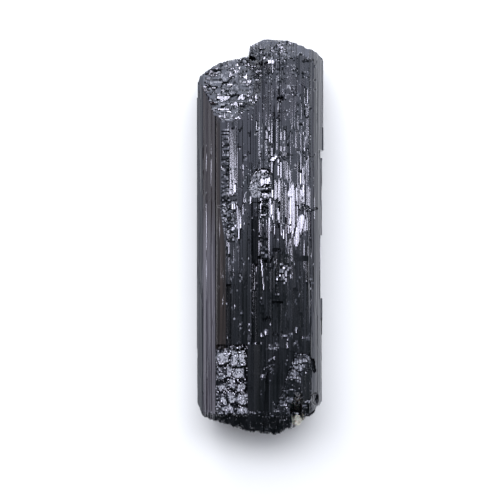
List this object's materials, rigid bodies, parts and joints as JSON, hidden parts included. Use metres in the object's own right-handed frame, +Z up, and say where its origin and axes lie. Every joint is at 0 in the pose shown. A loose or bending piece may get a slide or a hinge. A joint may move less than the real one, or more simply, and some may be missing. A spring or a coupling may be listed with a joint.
{
  "type": "tourmaline crystal",
  "caption": "Long black tourmaline crystal, a bundle of striated columns with a rough broken base and a tiny pale feldspar grain, lying on its back.",
  "frame": {"origin": "on the resting face, under the middle of the crystal's box", "axes": "+Y along the crystal's long axis from the broken base to the terminations, +X to the right with the best side facing up, +Z up from the resting face"},
  "size_m": [0.0328, 0.105, 0.0256],
  "materials": {
    "schorl": "black mineral with a glassy lustre on its long striated faces, rough and glinting where broken",
    "feldspar": "pale cream mineral, dull with small pearly cleavage steps"
  },
  "bodies": {
    "root": {"tourmaline_crystal": "schorl", "feldspar_grain": "feldspar"}
  },
  "joints": []
}
